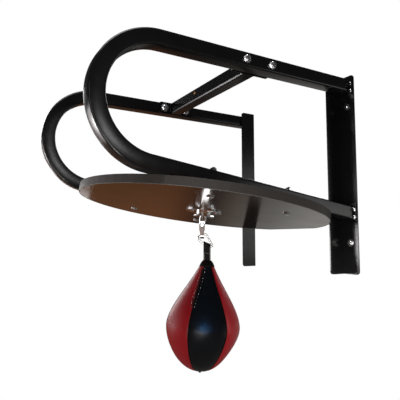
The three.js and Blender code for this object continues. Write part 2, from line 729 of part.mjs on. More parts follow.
const loop = alongX(loopShape, STRAP_WIDE);
const loopPos = loop.attributes.position;
for (let i = 0; i < loopPos.count; i += 1) {
  const x = loopPos.getX(i);
  const z = loopPos.getZ(i);
  const fade = THREE.MathUtils.clamp(1 - z / (loopLow * 0.9), 0, 1);
  loopPos.setZ(i, z + foldSlope * x * fade);
}
add('bag_loop', moved(shifted(loop, foldAt.x, 0, foldAt.z), hang), BLACK_HIDE);

// ---------------------------------------------------------------- bag

// half profile of the bag from neck to tip: radius and depth below the neck
const BAG_WIDEST = 150; // depth of the widest point below the neck
const upper = new THREE.CubicBezierCurve(
  new THREE.Vector2(12, 0), new THREE.Vector2(40, 60),
  new THREE.Vector2(BAG_R - 5, 104), new THREE.Vector2(BAG_R, BAG_WIDEST),
);
const lower = new THREE.CubicBezierCurve(
  new THREE.Vector2(BAG_R, BAG_WIDEST), new THREE.Vector2(BAG_R, 196),
  new THREE.Vector2(52, BAG_LENGTH), new THREE.Vector2(7, BAG_LENGTH),
);

// [radius, height] pairs down the outside of the bag, the same number of steps in each half
function bagProfile(steps) {
  const points = upper.getPoints(steps).concat(lower.getPoints(steps).slice(1));
  return points.map((p) => [p.x, -p.y]);
}

// the profile moved inwards by a skin thickness, measured square to it
function insetProfile(points, inset) {
  return points.map(([r, z], i) => {
    const a = points[Math.max(i - 1, 0)];
    const b = points[Math.min(i + 1, points.length - 1)];
    const len = Math.hypot(b[0] - a[0], b[1] - a[1]);
    return [r + (b[1] - a[1]) / len * inset, z - (b[0] - a[0]) / len * inset];
  });
}

const skin = bagProfile(8);
const lining = insetProfile(skin, BAG_SKIN);
const shell = toSolid(turned([...skin, ...lining.slice().reverse(), skin[0]], 36));

// wedge between two panel seams
function wedge(from, to) {
  const far = 200;
  const mid = (from + to) / 2;
  const s = new THREE.Shape();
  const back = 0.15 / Math.sin((to - from) / 2);
  s.moveTo(back * Math.cos(mid), back * Math.sin(mid));
  s.lineTo(back * Math.cos(mid) + far * Math.cos(from), back * Math.sin(mid) + far * Math.sin(from));
  s.lineTo(back * Math.cos(mid) + far * Math.cos(to), back * Math.sin(mid) + far * Math.sin(to));
  s.closePath();
  return new THREE.ExtrudeGeometry(s, { depth: 400, bevelEnabled: false }).translate(0, 0, -330);
}

const panelAngle = 2 * Math.PI / PANEL_COUNT;
for (let i = 0; i < PANEL_COUNT; i += 1) {
  const mid = -Math.PI / 2 + PANEL_PHASE + i * panelAngle;
  const panel = shell.intersect(toSolid(wedge(mid - panelAngle / 2, mid + panelAngle / 2)));
  add(`bag_panel_${i + 1}`, moved(toGeometry(panel), bagFrame), i % 2 === 0 ? BLACK_HIDE : RED);
}

// bladder: an inner skin clear of the cover, open where its valve stands
const outerBladder = insetProfile(skin, BAG_SKIN + 0.6).filter(([, z]) => z < -22);
const innerBladder = insetProfile(skin, BAG_SKIN + 1.8).filter(([, z]) => z < -22);
const topZ = outerBladder[0][1];
const bladder = turned([
  [0, topZ + 3], ...outerBladder, ...innerBladder.slice().reverse(), [0, topZ + 1.2],
], 20);
add('bag_bladder', moved(bladder, bagFrame), RUBBER);

const valve = turned([
  [0, -BAG_LENGTH - 3], [2.2, -BAG_LENGTH - 3], [3.6, -BAG_LENGTH - 1], [3.6, -BAG_LENGTH + 8],
  [0, -BAG_LENGTH + 8],
], 14);
add('bag_valve', moved(valve, bagFrame), RUBBER);

export default model;
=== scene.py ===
"""Looks for the wall-hung speed bag platform: paint, laminate, chrome and a stitched leather bag.

Metres, +Z up, the wall is the plane Y = 0 and the room is at -Y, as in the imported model.
"""

import json
import math

import bmesh
import bpy
from mathutils import Matrix, Vector
from mathutils.bvhtree import BVHTree


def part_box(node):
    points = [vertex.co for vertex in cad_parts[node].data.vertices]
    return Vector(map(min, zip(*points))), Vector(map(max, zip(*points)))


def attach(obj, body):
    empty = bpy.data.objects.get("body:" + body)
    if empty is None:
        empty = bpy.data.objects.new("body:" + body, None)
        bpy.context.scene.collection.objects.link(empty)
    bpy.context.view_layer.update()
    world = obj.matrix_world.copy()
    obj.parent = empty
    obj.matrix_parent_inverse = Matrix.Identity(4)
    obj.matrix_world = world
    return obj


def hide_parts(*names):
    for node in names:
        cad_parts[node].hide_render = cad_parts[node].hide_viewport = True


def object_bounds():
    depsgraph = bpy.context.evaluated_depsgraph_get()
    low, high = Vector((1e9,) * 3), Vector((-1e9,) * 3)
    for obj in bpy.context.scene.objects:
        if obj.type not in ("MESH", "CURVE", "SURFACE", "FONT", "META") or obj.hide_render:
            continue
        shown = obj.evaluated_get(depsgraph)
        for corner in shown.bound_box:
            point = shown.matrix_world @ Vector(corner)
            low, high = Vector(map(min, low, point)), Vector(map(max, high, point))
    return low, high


MM = 0.001

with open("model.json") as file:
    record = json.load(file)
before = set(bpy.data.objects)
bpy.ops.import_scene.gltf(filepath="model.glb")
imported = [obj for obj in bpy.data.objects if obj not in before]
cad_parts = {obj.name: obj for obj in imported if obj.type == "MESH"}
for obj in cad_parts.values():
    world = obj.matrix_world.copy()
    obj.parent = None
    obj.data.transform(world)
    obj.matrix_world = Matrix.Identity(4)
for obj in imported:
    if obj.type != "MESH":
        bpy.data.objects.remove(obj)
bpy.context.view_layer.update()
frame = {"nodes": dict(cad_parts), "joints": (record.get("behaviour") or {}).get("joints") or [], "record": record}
nodes = frame["nodes"]
joints = {j["name"]: j for j in frame["joints"]}
SIDES = (("right", 1), ("left", -1))


# ---------------------------------------------------------------- dimensions shared with the CAD

TUBE_WIDE, TUBE_DEEP, TUBE_WALL, TUBE_CORNER = 34 * MM, 32 * MM, 2 * MM, 4 * MM
BEND_R = 120.4 * MM
DECK_TILT = math.radians(8.14)
TOP_RUN_END, LOW_RUN_END = 22 * MM, 13 * MM
WIRE_R = 2.2 * MM
# the wire link's corners as (x, z, radius) in millimetres, in the hanging frame
LINK_CORNERS = ((-9.8, -4, 3.2), (9.5, 3.4, 4.2), (28.6, -30.75, 2.5), (0.5, -19, 3.5), (-7.8, -11, 4))
STRAP_WIDE, STRAP_THICK = 17.6 * MM, 2.6 * MM
STRAP_FOLD_R = 4.5 * MM
STRAP_SLOPE = -10 / 24  # fall of the strap's fold along the wire's lower bar
BAG_WIDEST = 150 * MM  # depth of the widest point below the neck
BAG_LEAN = math.radians(3.96)
BAG_ACROSS, BAG_DOWN = 12.5 * MM, 68 * MM  # from the link's seat to the neck
PANEL_COUNT = 6
PANEL_PHASE = math.radians(7)

# local frames of what hangs: x and y are the two level swing axes
seat = Vector(joints["link_swing"]["pos_m"])
e1 = Vector(joints["link_swing"]["axis"]).normalized()
e2 = Vector(joints["stirrup_swing"]["axis"]).normalized()
fold = Vector(joints["bag_swing"]["pos_m"])


def frame_at(origin, x, y, z):
    m = Matrix((x, y, z)).transposed().to_4x4()
    m.translation = origin
    return m


hang = frame_at(seat, e1, e2, Vector((0, 0, 1)))
bag_frame = hang @ Matrix.Translation((BAG_ACROSS, 0, -BAG_DOWN)) @ Matrix.Rotation(BAG_LEAN, 4, "Y")
fold_frame = frame_at(fold, e1, e2, Vector((0, 0, 1)))


# ---------------------------------------------------------------- camera, world, lights, floor

CAMERA_AT = Vector((0.9276, -0.8507, 0.0860))
CAMERA_AZIMUTH, CAMERA_PITCH = math.radians(59.64), math.radians(5.09)
CAMERA_LENS, SENSOR_WIDE = 38.98, 36

look = Vector((
    -math.sin(CAMERA_AZIMUTH) * math.cos(CAMERA_PITCH),
    math.cos(CAMERA_AZIMUTH) * math.cos(CAMERA_PITCH),
    math.sin(CAMERA_PITCH),
))
camera_data = bpy.data.cameras.new("camera")
camera_data.lens = CAMERA_LENS
camera_data.sensor_width = SENSOR_WIDE
camera_data.clip_start = 0.01
camera = bpy.data.objects.new("camera", camera_data)
bpy.context.scene.collection.objects.link(camera)
camera.location = CAMERA_AT
camera.rotation_euler = look.to_track_quat("-Z", "Y").to_euler()
bpy.context.scene.camera = camera
bpy.context.scene.view_settings.view_transform = "Standard"

WHITE = (1, 1, 1, 1)
CEILING = (0.030, 0.031, 0.034, 1)
# the room near the horizon, by how far a direction leans towards the wall:
# a warm floor, a dark gap, a grey, and the pale wall side
GROUND = (
    (0.00, (0.16, 0.07, 0.03)),
    (0.40, (0.20, 0.08, 0.035)),
    (0.45, (0.10, 0.04, 0.02)),
    (0.48, (0.02, 0.02, 0.02)),
    (0.52, (0.14, 0.11, 0.09)),
    (0.60, (0.26, 0.25, 0.24)),
    (0.67, (0.48, 0.46, 0.43)),
)
FLOOR_BELOW = (0.16, 0.15, 0.14, 1)
FLOOR_EDGE = (-0.55, -0.35)  # heights of a direction between which the floor below gives way
CEILING_EDGE = (-0.04, 0.14)


def make_world():
    """White behind the object; a dim room with a warm floor and a pale wall side lights it."""
    world = bpy.data.worlds.new("studio")
    bpy.context.scene.world = world
    world.use_nodes = True
    tree = world.node_tree
    tree.nodes.clear()
    new, link = tree.nodes.new, tree.links.new

    def step(value, low, high):
        n = new("ShaderNodeMapRange")
        n.interpolation_type = "SMOOTHSTEP"
        n.inputs["From Min"].default_value = low
        n.inputs["From Max"].default_value = high
        link(value, n.inputs["Value"])
        return n.outputs["Result"]

    def blend(factor, a, b):
        n = new("ShaderNodeMix")
        n.data_type = "RGBA"
        link(factor, n.inputs["Factor"])
        for value, socket in ((a, "A"), (b, "B")):
            if isinstance(value, tuple):
                n.inputs[socket].default_value = value
            else:
                link(value, n.inputs[socket])
        return n.outputs["Result"]

    out = new("ShaderNodeOutputWorld")
    backdrop = new("ShaderNodeBackground")
    backdrop.inputs["Color"].default_value = WHITE
    room = new("ShaderNodeBackground")
    where = new("ShaderNodeTexCoord")
    split = new("ShaderNodeSeparateXYZ")
    link(where.outputs["Generated"], split.inputs[0])
    ground = new("ShaderNodeValToRGB")
    ramp = ground.color_ramp
    while len(ramp.elements) < len(GROUND):
        ramp.elements.new(0.5)
    for element, (at, colour) in zip(ramp.elements, GROUND):
        element.position = at
        element.color = (*colour, 1)
    link(split.outputs["Y"], ground.inputs["Fac"])
    low = blend(step(split.outputs["Z"], *FLOOR_EDGE), FLOOR_BELOW, ground.outputs["Color"])
    whole = blend(step(split.outputs["Z"], *CEILING_EDGE), low, CEILING)
    link(whole, room.inputs["Color"])
    seen = new("ShaderNodeLightPath")
    pick = new("ShaderNodeMixShader")
    link(seen.outputs["Is Camera Ray"], pick.inputs["Fac"])
    link(room.outputs[0], pick.inputs[1])
    link(backdrop.outputs[0], pick.inputs[2])
    link(pick.outputs[0], out.inputs["Surface"])


make_world()


def soft_light(name, at, target, wide, tall, power, colour, only=None):
    """A rectangular softbox; one given a collection lights only the pieces in it."""
    data = bpy.data.lights.new(name, "AREA")
    data.shape = "RECTANGLE"
    data.size, data.size_y = wide, tall
    data.energy = power
    data.color = colour
    lamp = bpy.data.objects.new(name, data)
    bpy.context.scene.collection.objects.link(lamp)
    lamp.location = at
    lamp.rotation_euler = (Vector(target) - Vector(at)).to_track_quat("-Z", "Y").to_euler()
    lamp.visible_camera = False
    if only is not None:
        lamp.light_linking.receiver_collection = only


MIDDLE = (0, -0.3, 0.12)
BAG_MIDDLE = (0, -0.3, -0.13)
NEUTRAL = (1.0, 1.0, 1.0)
bright_metal = bpy.data.collections.new("bright_metal")
plain_metal = bpy.data.collections.new("plain_metal")
painted = bpy.data.collections.new("painted")
black_hide = bpy.data.collections.new("black_hide")
red_hide = bpy.data.collections.new("red_hide")
# name, where, pointed at, width, height, watts, colour, and the only pieces it lights
soft_light("key", (1.25, -1.25, -0.30), MIDDLE, 0.6, 0.5, 8, (1.0, 0.98, 0.96))
soft_light("fill", (-1.45, -1.75, 0.0), MIDDLE, 1.1, 1.1, 12, (1.0, 0.95, 0.97))
soft_light("top", (0.5, -0.8, 2.0), MIDDLE, 1.3, 1.0, 26, (1.0, 0.99, 0.97))
soft_light("back", (-1.3, 1.9, 1.1), MIDDLE, 1.3, 1.0, 24, NEUTRAL)
soft_light("left", (-2.1, -0.5, 0.5), MIDDLE, 1.0, 1.2, 16, NEUTRAL)
soft_light("window", (1.27, -0.95, 0.06), BAG_MIDDLE, 0.26, 0.22, 9, (0.07, 0.40, 1.0), black_hide)
soft_light("red_right", (1.6, 0.75, 0.15), BAG_MIDDLE, 0.8, 0.8, 9, (1.0, 0.93, 0.95), red_hide)
soft_light("paint_right", (1.69, -0.22, 0.56), (0.2, -0.6, 0.3), 0.22, 0.16, 1.5, NEUTRAL, painted)
soft_light("paint_corner", (1.04, -1.47, 0.30), MIDDLE, 0.10, 0.9, 2.5, NEUTRAL, painted)
soft_light("paint_low", (0.75, -1.25, -0.85), MIDDLE, 0.25, 0.25, 7, NEUTRAL, painted)
soft_light("paint_left", (-1.36, -1.78, -0.03), MIDDLE, 0.6, 0.4, 14, NEUTRAL, painted)
soft_light("paint_wall", (1.42, 1.12, 0.28), MIDDLE, 0.8, 0.7, 2.6, NEUTRAL, painted)
soft_light("metal_front", (1.35, -1.02, 0.20), MIDDLE, 0.22, 0.30, 1.3, NEUTRAL, bright_metal)
soft_light("metal_below", (0.5, -1.2, -1.0), MIDDLE, 0.5, 0.3, 1.3, NEUTRAL, bright_metal)
soft_light("metal_above", (1.2, -0.1, 0.9), MIDDLE, 0.3, 0.6, 3, NEUTRAL, bright_metal)
soft_light("stirrup_card", (1.30, -1.05, 0.05), MIDDLE, 0.9, 0.7, 0.34, NEUTRAL, plain_metal)
soft_light("metal_side", (1.3, 0.9, 0.1), MIDDLE, 0.25, 0.5, 2, NEUTRAL, bright_metal)


# ---------------------------------------------------------------- materials

def material(name, colour, rough, metal=0.0, ior=1.5):
    """A principled material with its fixed values on the shader's own sockets."""
    mat = bpy.data.materials.new(name)
    mat.use_nodes = True
    shader = mat.node_tree.nodes["Principled BSDF"]
    shader.inputs["Base Color"].default_value = (*colour, 1)
    shader.inputs["Roughness"].default_value = rough
    shader.inputs["Metallic"].default_value = metal
    shader.inputs["IOR"].default_value = ior
    return mat


class Nodes:
    """Short calls for building one material's texture nodes in object space, in metres."""

    def __init__(self, mat):
        self.tree = mat.node_tree
        self.shader = self.tree.nodes["Principled BSDF"]
        self.where = self.add("ShaderNodeTexCoord").outputs["Object"]

    def add(self, kind):
        return self.tree.nodes.new(kind)

    def link(self, a, b):
        self.tree.links.new(a, b)

    def stretched(self, scale):
        m = self.add("ShaderNodeMapping")
        m.inputs["Scale"].default_value = scale
        self.link(self.where, m.inputs["Vector"])
        return m.outputs["Vector"]

    def noise(self, scale, detail=3.0, where=None, rough=0.55):
        n = self.add("ShaderNodeTexNoise")
        n.inputs["Scale"].default_value = scale
        n.inputs["Detail"].default_value = detail
        n.inputs["Roughness"].default_value = rough
        self.link(where or self.where, n.inputs["Vector"])
        return n.outputs["Fac"]

    def cells(self, scale, feature="DISTANCE_TO_EDGE"):
        n = self.add("ShaderNodeTexVoronoi")
        n.feature = feature
        n.inputs["Scale"].default_value = scale
        self.link(self.where, n.inputs["Vector"])
        return n.outputs["Distance"]

    def span(self, value, low, high, to_low, to_high):
        n = self.add("ShaderNodeMapRange")
        n.inputs["From Min"].default_value = low
        n.inputs["From Max"].default_value = high
        n.inputs["To Min"].default_value = to_low
        n.inputs["To Max"].default_value = to_high
        self.link(value, n.inputs["Value"])
        return n.outputs["Result"]

    def colour(self, value, a, b):
        n = self.add("ShaderNodeMix")
        n.data_type = "RGBA"
        n.inputs["A"].default_value = (*a, 1)
        n.inputs["B"].default_value = (*b, 1)
        self.link(value, n.inputs["Factor"])
        self.link(n.outputs["Result"], self.shader.inputs["Base Color"])

    def rough(self, value):
        self.link(value, self.shader.inputs["Roughness"])

    def bump(self, height, strength, distance, under=None):
        n = self.add("ShaderNodeBump")
        n.inputs["Strength"].default_value = strength
        n.inputs["Distance"].default_value = distance
        self.link(height, n.inputs["Height"])
        if under is not None:
            self.link(under, n.inputs["Normal"])
        self.link(n.outputs["Normal"], self.shader.inputs["Normal"])
        return n.outputs["Normal"]


def frame_paint():
    mat = material("satin_black_paint", (0.004, 0.004, 0.0043), 0.21, ior=1.40)
    n = Nodes(mat)
    n.colour(n.noise(14, 4), (0.0028, 0.0028, 0.0030), (0.0060, 0.0060, 0.0064))
    n.rough(n.span(n.noise(45, 5), 0.3, 0.7, 0.19, 0.23))
    n.bump(n.noise(420, 2), 0.035, 0.0003)
    return mat


def plated_steel():
    mat = material("zinc_plate", (0.70, 0.71, 0.73), 0.24, metal=1.0)
    n = Nodes(mat)
    n.colour(n.noise(260, 3), (0.64, 0.65, 0.67), (0.76, 0.77, 0.78))
    n.rough(n.span(n.noise(300, 3), 0.3, 0.7, 0.14, 0.22))
    n.bump(n.noise(500, 2), 0.02, 0.0002)
    return mat


def chrome_plate():
    mat = material("chrome_plate", (0.82, 0.83, 0.85), 0.08, metal=1.0)
    n = Nodes(mat)
    n.colour(n.noise(120, 3), (0.76, 0.77, 0.79), (0.88, 0.89, 0.90))
    n.rough(n.span(n.noise(180, 4), 0.3, 0.7, 0.05, 0.14))
    n.bump(n.noise(700, 2), 0.05, 0.0002)
    return mat


def board_laminate():
    mat = material("board_laminate", (0.022, 0.014, 0.009), 0.17, ior=1.5)
    n = Nodes(mat)
    grain = n.noise(60, 5, n.stretched((0.22, 2.4, 1.0)), 0.6)
    n.colour(grain, (0.015, 0.010, 0.007), (0.030, 0.019, 0.012))
    n.rough(n.span(n.noise(9, 4), 0.3, 0.7, 0.14, 0.20))
    n.bump(n.noise(420, 3), 0.05, 0.0003)
    return mat


def edge_band():
    mat = material("edge_band", (0.047, 0.044, 0.041), 0.5)
    n = Nodes(mat)
    n.colour(n.noise(220, 4), (0.044, 0.042, 0.040), (0.068, 0.064, 0.060))
    n.rough(n.span(n.noise(300, 3), 0.3, 0.7, 0.42, 0.58))
    n.bump(n.noise(900, 2), 0.2, 0.0003)
    return mat


def leather(name, dark, light, rough_low, rough_high, grain=620, ior=1.42):
    mat = material(name, light, rough_high, ior=ior)
    n = Nodes(mat)
    n.colour(n.noise(38, 5), dark, light)
    n.rough(n.span(n.noise(90, 4), 0.3, 0.7, rough_low, rough_high))
    pores = n.bump(n.span(n.cells(grain), 0.0, 0.25, 0.0, 1.0), 0.22, 0.00025)
    n.bump(n.noise(70, 4), 0.16, 0.0012, pores)
    return mat


def rubber():
    mat = material("black_rubber", (0.02, 0.02, 0.02), 0.6)
    n = Nodes(mat)
    n.colour(n.noise(150, 3), (0.014, 0.014, 0.014), (0.03, 0.029, 0.028))
    n.bump(n.noise(800, 2), 0.2, 0.0003)
    return mat


def thread(name, dark, light):
    mat = material(name, light, 0.7, ior=1.3)
    n = Nodes(mat)
    n.colour(n.noise(2500, 2), dark, light)
    n.bump(n.noise(3000, 2), 0.4, 0.0002)
    return mat


PAINT = frame_paint()
ZINC = plated_steel()
CHROME = chrome_plate()
LAMINATE = board_laminate()
BAND = edge_band()
RED = leather("red_leather", (0.34, 0.009, 0.015), (0.46, 0.015, 0.023), 0.36, 0.48, ior=1.36)
BLACK = leather("black_leather", (0.0045, 0.0042, 0.0036), (0.0085, 0.0080, 0.0070), 0.28, 0.36, ior=1.30)
STRAP = leather("strap_leather", (0.003, 0.003, 0.003), (0.008, 0.0075, 0.007), 0.55, 0.70, 480, ior=1.33)
RUBBER = rubber()
LACE = thread("waxed_lace", (0.003, 0.003, 0.003), (0.010, 0.010, 0.011))
THREAD = thread("grey_thread", (0.35, 0.35, 0.34), (0.75, 0.74, 0.72))

SLOT_LOOKS = {
    "frame_paint": PAINT,
    "zinc": ZINC,
    "chrome": CHROME,
    "board_laminate": LAMINATE,
    "edge_band": BAND,
    "bag_red": RED,
    "bag_black": BLACK,
    "strap_leather": STRAP,
    "bladder_rubber": RUBBER,
}

# how far each kind of CAD piece has its sharp edges rounded, where it is worth seeing
ROUNDED = {
    "wall_angle": 0.7, "end_bracket": 0.5, "brace_plate": 0.5, "cross_brace": 0.4, "platform_board": 0.5,
    "wall_screw": 0.25, "end_bolt": 0.25, "brace_bolt": 0.25, "brace_nut": 0.25, "board_bolt": 0.25,
    "board_nut": 0.25, "swivel_screw": 0.2, "stirrup_rivet": 0.25,
}
SMOOTH_ANGLE = math.radians(32)
BEVEL_ANGLE = math.radians(50)
TUBE_SMOOTH_ANGLE = math.radians(40)


def smooth(obj):
    for p in obj.data.polygons:
        p.use_smooth = True
    obj.data.set_sharp_from_angle(angle=SMOOTH_ANGLE)


for sub in frame["record"]["subparts"]:
    node = nodes[sub["node"]]
    if sub["material_slot"] in ("zinc", "chrome"):
        flat_strip = sub["node"] == "swivel_stirrup"
        (plain_metal if flat_strip else bright_metal).objects.link(node)
    if sub["material_slot"] == "frame_paint":
        painted.objects.link(node)
    node.data.materials.clear()
    node.data.materials.append(SLOT_LOOKS[sub["material_slot"]])
    smooth(node)
    for kind, width in ROUNDED.items():
        if sub["node"].startswith(kind):
            bevel = node.modifiers.new("edges", "BEVEL")
            bevel.width = width * MM
            bevel.segments = 2
            bevel.limit_method = "ANGLE"
            bevel.angle_limit = BEVEL_ANGLE
            bevel.harden_normals = True


# ---------------------------------------------------------------- mesh helpers

def face_outwards(mesh):
    bm = bmesh.new()
    bm.from_mesh(mesh)
    bmesh.ops.recalc_face_normals(bm, faces=bm.faces)
    bm.to_mesh(mesh)
    bm.free()


def piece(name, verts, faces, mat, body, replaces=()):
    """A smooth mesh piece that rides a body and may stand in for CAD nodes."""
    mesh = bpy.data.meshes.new(name)
    mesh.from_pydata([tuple(v) for v in verts], [], faces)
    mesh.validate()
    face_outwards(mesh)
    mesh.materials.append(mat)
    obj = bpy.data.objects.new(name, mesh)
    bpy.context.scene.collection.objects.link(obj)
    for p in mesh.polygons:
        p.use_smooth = True
    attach(obj, body)
    if replaces:
        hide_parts(*replaces)
    return obj


class Build:
    """Collects several closed shapes into one mesh."""

    def __init__(self):
        self.verts = []
        self.faces = []

    def rings(self, rings, closed=False, caps=True):
        """Joins equal rings of points into a skin, closed round or capped at its ends."""
        base, n, count = len(self.verts), len(rings[0]), len(rings)
        for ring in rings:
            self.verts.extend(ring)
        last = count if closed else count - 1
        for i in range(last):
            a, b = base + i * n, base + ((i + 1) % count) * n
            for k in range(n):
                j = (k + 1) % n
                self.faces.append((a + k, a + j, b + j, b + k))
        if caps and not closed:
            self.faces.append(tuple(base + k for k in reversed(range(n))))
            self.faces.append(tuple(base + (count - 1) * n + k for k in range(n)))

    def tube(self, points, radius, sides=8, closed=False, caps=True):
        """A round tube along points; radius is a number or a function of the step."""
        n = len(points)
        tangents = []
        for i in range(n):
            a = points[(i - 1) % n] if closed or i > 0 else points[i]
            b = points[(i + 1) % n] if closed or i < n - 1 else points[i]
            tangents.append((b - a).normalized())
        side = tangents[0].orthogonal().normalized()
        rings = []
        for i, (p, t) in enumerate(zip(points, tangents)):
            side = (side - t * side.dot(t)).normalized()
            other = t.cross(side)
            r = radius(i) if callable(radius) else radius
            turns = (2 * math.pi * k / sides for k in range(sides))
            rings.append([p + (side * math.cos(a) + other * math.sin(a)) * r for a in turns])
        if closed:
            # spread the leftover twist so that the last ring meets the first
            back = (rings[0][0] - points[0]).normalized()
            t = tangents[0]
            s = (side - t * side.dot(t)).normalized()
            twist = math.atan2(t.cross(s).dot(back), s.dot(back))
            for i, (p, tangent) in enumerate(zip(points, tangents)):
                turn = Matrix.Rotation(twist * i / n, 3, tangent)
                rings[i] = [p + turn @ (v - p) for v in rings[i]]
        self.rings(rings, closed, caps)

    def make(self, name, mat, body, replaces=()):
        return piece(name, self.verts, self.faces, mat, body, replaces)


def rounded_outline(wide, tall, r, steps):
    """Points round a rectangle with rounded corners, as (x, y) pairs."""
    out = []
    for cx, cy, quarter in ((1, 1, 0), (-1, 1, 1), (-1, -1, 2), (1, -1, 3)):
        for i in range(steps + 1):
            a = (quarter + i / steps) * math.pi / 2
            out.append((cx * (wide / 2 - r) + r * math.cos(a), cy * (tall / 2 - r) + r * math.sin(a)))
    return out


# ---------------------------------------------------------------- side tubes

top_run_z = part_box("side_frame_right")[1].z - TUBE_DEEP / 2
nose_u = -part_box("side_frame_right")[0].y
bend_u = nose_u - BEND_R - TUBE_DEEP / 2
bend_z = top_run_z - BEND_R
low_tangent = (bend_u + BEND_R * math.sin(DECK_TILT), bend_z - BEND_R * math.cos(DECK_TILT))
BEND_STEPS = 72
CORNER_STEPS = 5
LEAST_CORNER = 1 * MM  # smallest radius of the tube's inner corners


def tube_stations():
    """(distance from the wall, height, tangent) down the tube's centreline."""
    stations = [(TOP_RUN_END, top_run_z, (1, 0)), (bend_u * 0.5, top_run_z, (1, 0))]
    for i in range(BEND_STEPS + 1):
        a = math.pi / 2 - (math.pi - DECK_TILT) * i / BEND_STEPS
        at = (bend_u + BEND_R * math.cos(a), bend_z + BEND_R * math.sin(a))
        stations.append((*at, (math.sin(a), -math.cos(a))))
    down = (-math.cos(DECK_TILT), -math.sin(DECK_TILT))
    for share in (0.5, 1.0):
        u = low_tangent[0] + (LOW_RUN_END - low_tangent[0]) * share
        z = low_tangent[1] + (u - low_tangent[0]) * math.tan(DECK_TILT)
        stations.append((u, z, down))
    return stations


def side_tube(name):
    """One bent rectangular tube with a wall, its lower end cut square to the wall."""
    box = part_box(f"side_frame_{name}")
    x0 = (box[0].x + box[1].x) / 2
    stations = tube_stations()

    def skin(shrink):
        outline = rounded_outline(
            TUBE_WIDE - 2 * shrink, TUBE_DEEP - 2 * shrink, max(TUBE_CORNER - shrink, LEAST_CORNER),
            CORNER_STEPS)
        rings = []
        for i, (u, z, t) in enumerate(stations):
            ring = []
            for a, b in outline:
                # b is measured square to the centreline, towards the outside of the bend
                pu, pz = u - t[1] * b, z + t[0] * b
                if i == len(stations) - 1:
                    run = (LOW_RUN_END - pu) / t[0]
                    pu, pz = pu + t[0] * run, pz + t[1] * run
                ring.append(Vector((x0 + a, -pu, pz)))
            rings.append(ring)
        return rings

    outer, inner = skin(0), skin(TUBE_WALL)
    build = Build()
    build.rings(outer + inner[::-1], closed=True)
    obj = build.make(f"side_tube_{name}", PAINT, "frame", (f"side_frame_{name}",))
    obj.data.set_sharp_from_angle(angle=TUBE_SMOOTH_ANGLE)
    painted.objects.link(obj)


for name, _ in SIDES:
    side_tube(name)


# ---------------------------------------------------------------- weld beads

WELD_PITCH = 1.9 * MM
BRACE_WELD_R, END_WELD_R = 1.9 * MM, 1.5 * MM
WELD_INSET = 3 * MM  # a bead stops this far short of a corner
WELD_SINK = 0.6 * MM  # depth of a bead's centreline behind the seam


def weld(build, corners, radius):
    """A rippled bead along the straight lines between corners, each crest one pass of the torch."""
    for a, b in zip(corners, corners[1:]):
        steps = max(6, int((b - a).length / WELD_PITCH * 3))
        points = [a.lerp(b, i / steps) for i in range(steps + 1)]

        def ripple(i):
            ends = min(1.0, 0.35 + i * 0.22, 0.35 + (steps - i) * 0.22)
            return radius * ends * (0.86 + 0.16 * math.cos(2 * math.pi * i / 3))

        build.tube(points, ripple, 8)


for name, side in SIDES:
    beads = Build()
    brace_low, brace_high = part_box("cross_brace")
    x = side * (brace_high.x - WELD_SINK)
    y0, y1, z0, z1 = brace_low.y, brace_high.y, brace_low.z, brace_high.z
    for corners in (
        ((y0 + WELD_INSET, z1), (y1 - WELD_INSET, z1)), ((y0 + WELD_INSET, z0), (y1 - WELD_INSET, z0)),
        ((y0, z0 + WELD_INSET), (y0, z1 - WELD_INSET)), ((y1, z0 + WELD_INSET), (y1, z1 - WELD_INSET)),
    ):
        weld(beads, [Vector((x, y, z)) for y, z in corners], BRACE_WELD_R)
    tube_low, tube_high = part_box(f"side_frame_{name}")
    xa, xb = tube_low.x + WELD_INSET, tube_high.x - WELD_INSET
    low_end_z = low_tangent[1] + (LOW_RUN_END - low_tangent[0]) * math.tan(DECK_TILT)
    for z_mid, reach, end in (
        (top_run_z, TUBE_DEEP / 2, TOP_RUN_END),
        (low_end_z, TUBE_DEEP / 2 / math.cos(DECK_TILT), LOW_RUN_END),
    ):
        y = -(end + WELD_SINK)
        for z in (z_mid + reach, z_mid - reach):
            weld(beads, [Vector((xa, y, z)), Vector((xb, y, z))], END_WELD_R)
    beads.make(f"weld_beads_{name}", PAINT, "frame")


# ---------------------------------------------------------------- board's rim: a painted highlight line round its foot

# the pale colour of this line is a painted highlight along the rim's lower edge, not a colour of the board
RIM_HIGHLIGHT = material("rim_highlight_paint", (0.11, 0.105, 0.10), 0.45)
rim_highlight_nodes = Nodes(RIM_HIGHLIGHT)
rim_highlight_nodes.colour(rim_highlight_nodes.noise(240, 3, rough=0.8), (0.06, 0.058, 0.055), (0.34, 0.33, 0.31))
RIM_LINE_R, RIM_LINE_INSET, RIM_LINE_PROUD = 0.75 * MM, 0.6 * MM, 0.35 * MM
FOOT_BAND = 0.2 * MM  # how near the lowest point a vertex counts as the rim's foot


def paint_rim_highlight():
    """A painted highlight: a fine pale line round the foot of the rim, where light catches its lower edge."""
    band = nodes["board_edge_band"].data
    down = Vector((0, -math.sin(DECK_TILT), -math.cos(DECK_TILT)))
    depth = max(v.co.dot(down) for v in band.vertices)
    foot = [v.co.copy() for v in band.vertices if v.co.dot(down) > depth - FOOT_BAND]
    centre = sum(foot, Vector()) / len(foot)
    far = {}  # the outermost point of the rim in each half degree
    for p in foot:
        d = p - centre
        a = round(math.degrees(math.atan2(d.y, d.x)) * 2)
        if a not in far or d.length > far[a].length:
            far[a] = d
    points = []
    for a in sorted(far):
        d = far[a]
        points.append(centre + d - d.normalized() * RIM_LINE_INSET)
    build = Build()
    build.tube([p - down * RIM_LINE_PROUD for p in points], RIM_LINE_R, 6, closed=True)
    # the thin pale tube under the rim's foot carries the painted highlight
    build.make("painted_rim_highlight_line", RIM_HIGHLIGHT, "frame")


paint_rim_highlight()


# ---------------------------------------------------------------- link

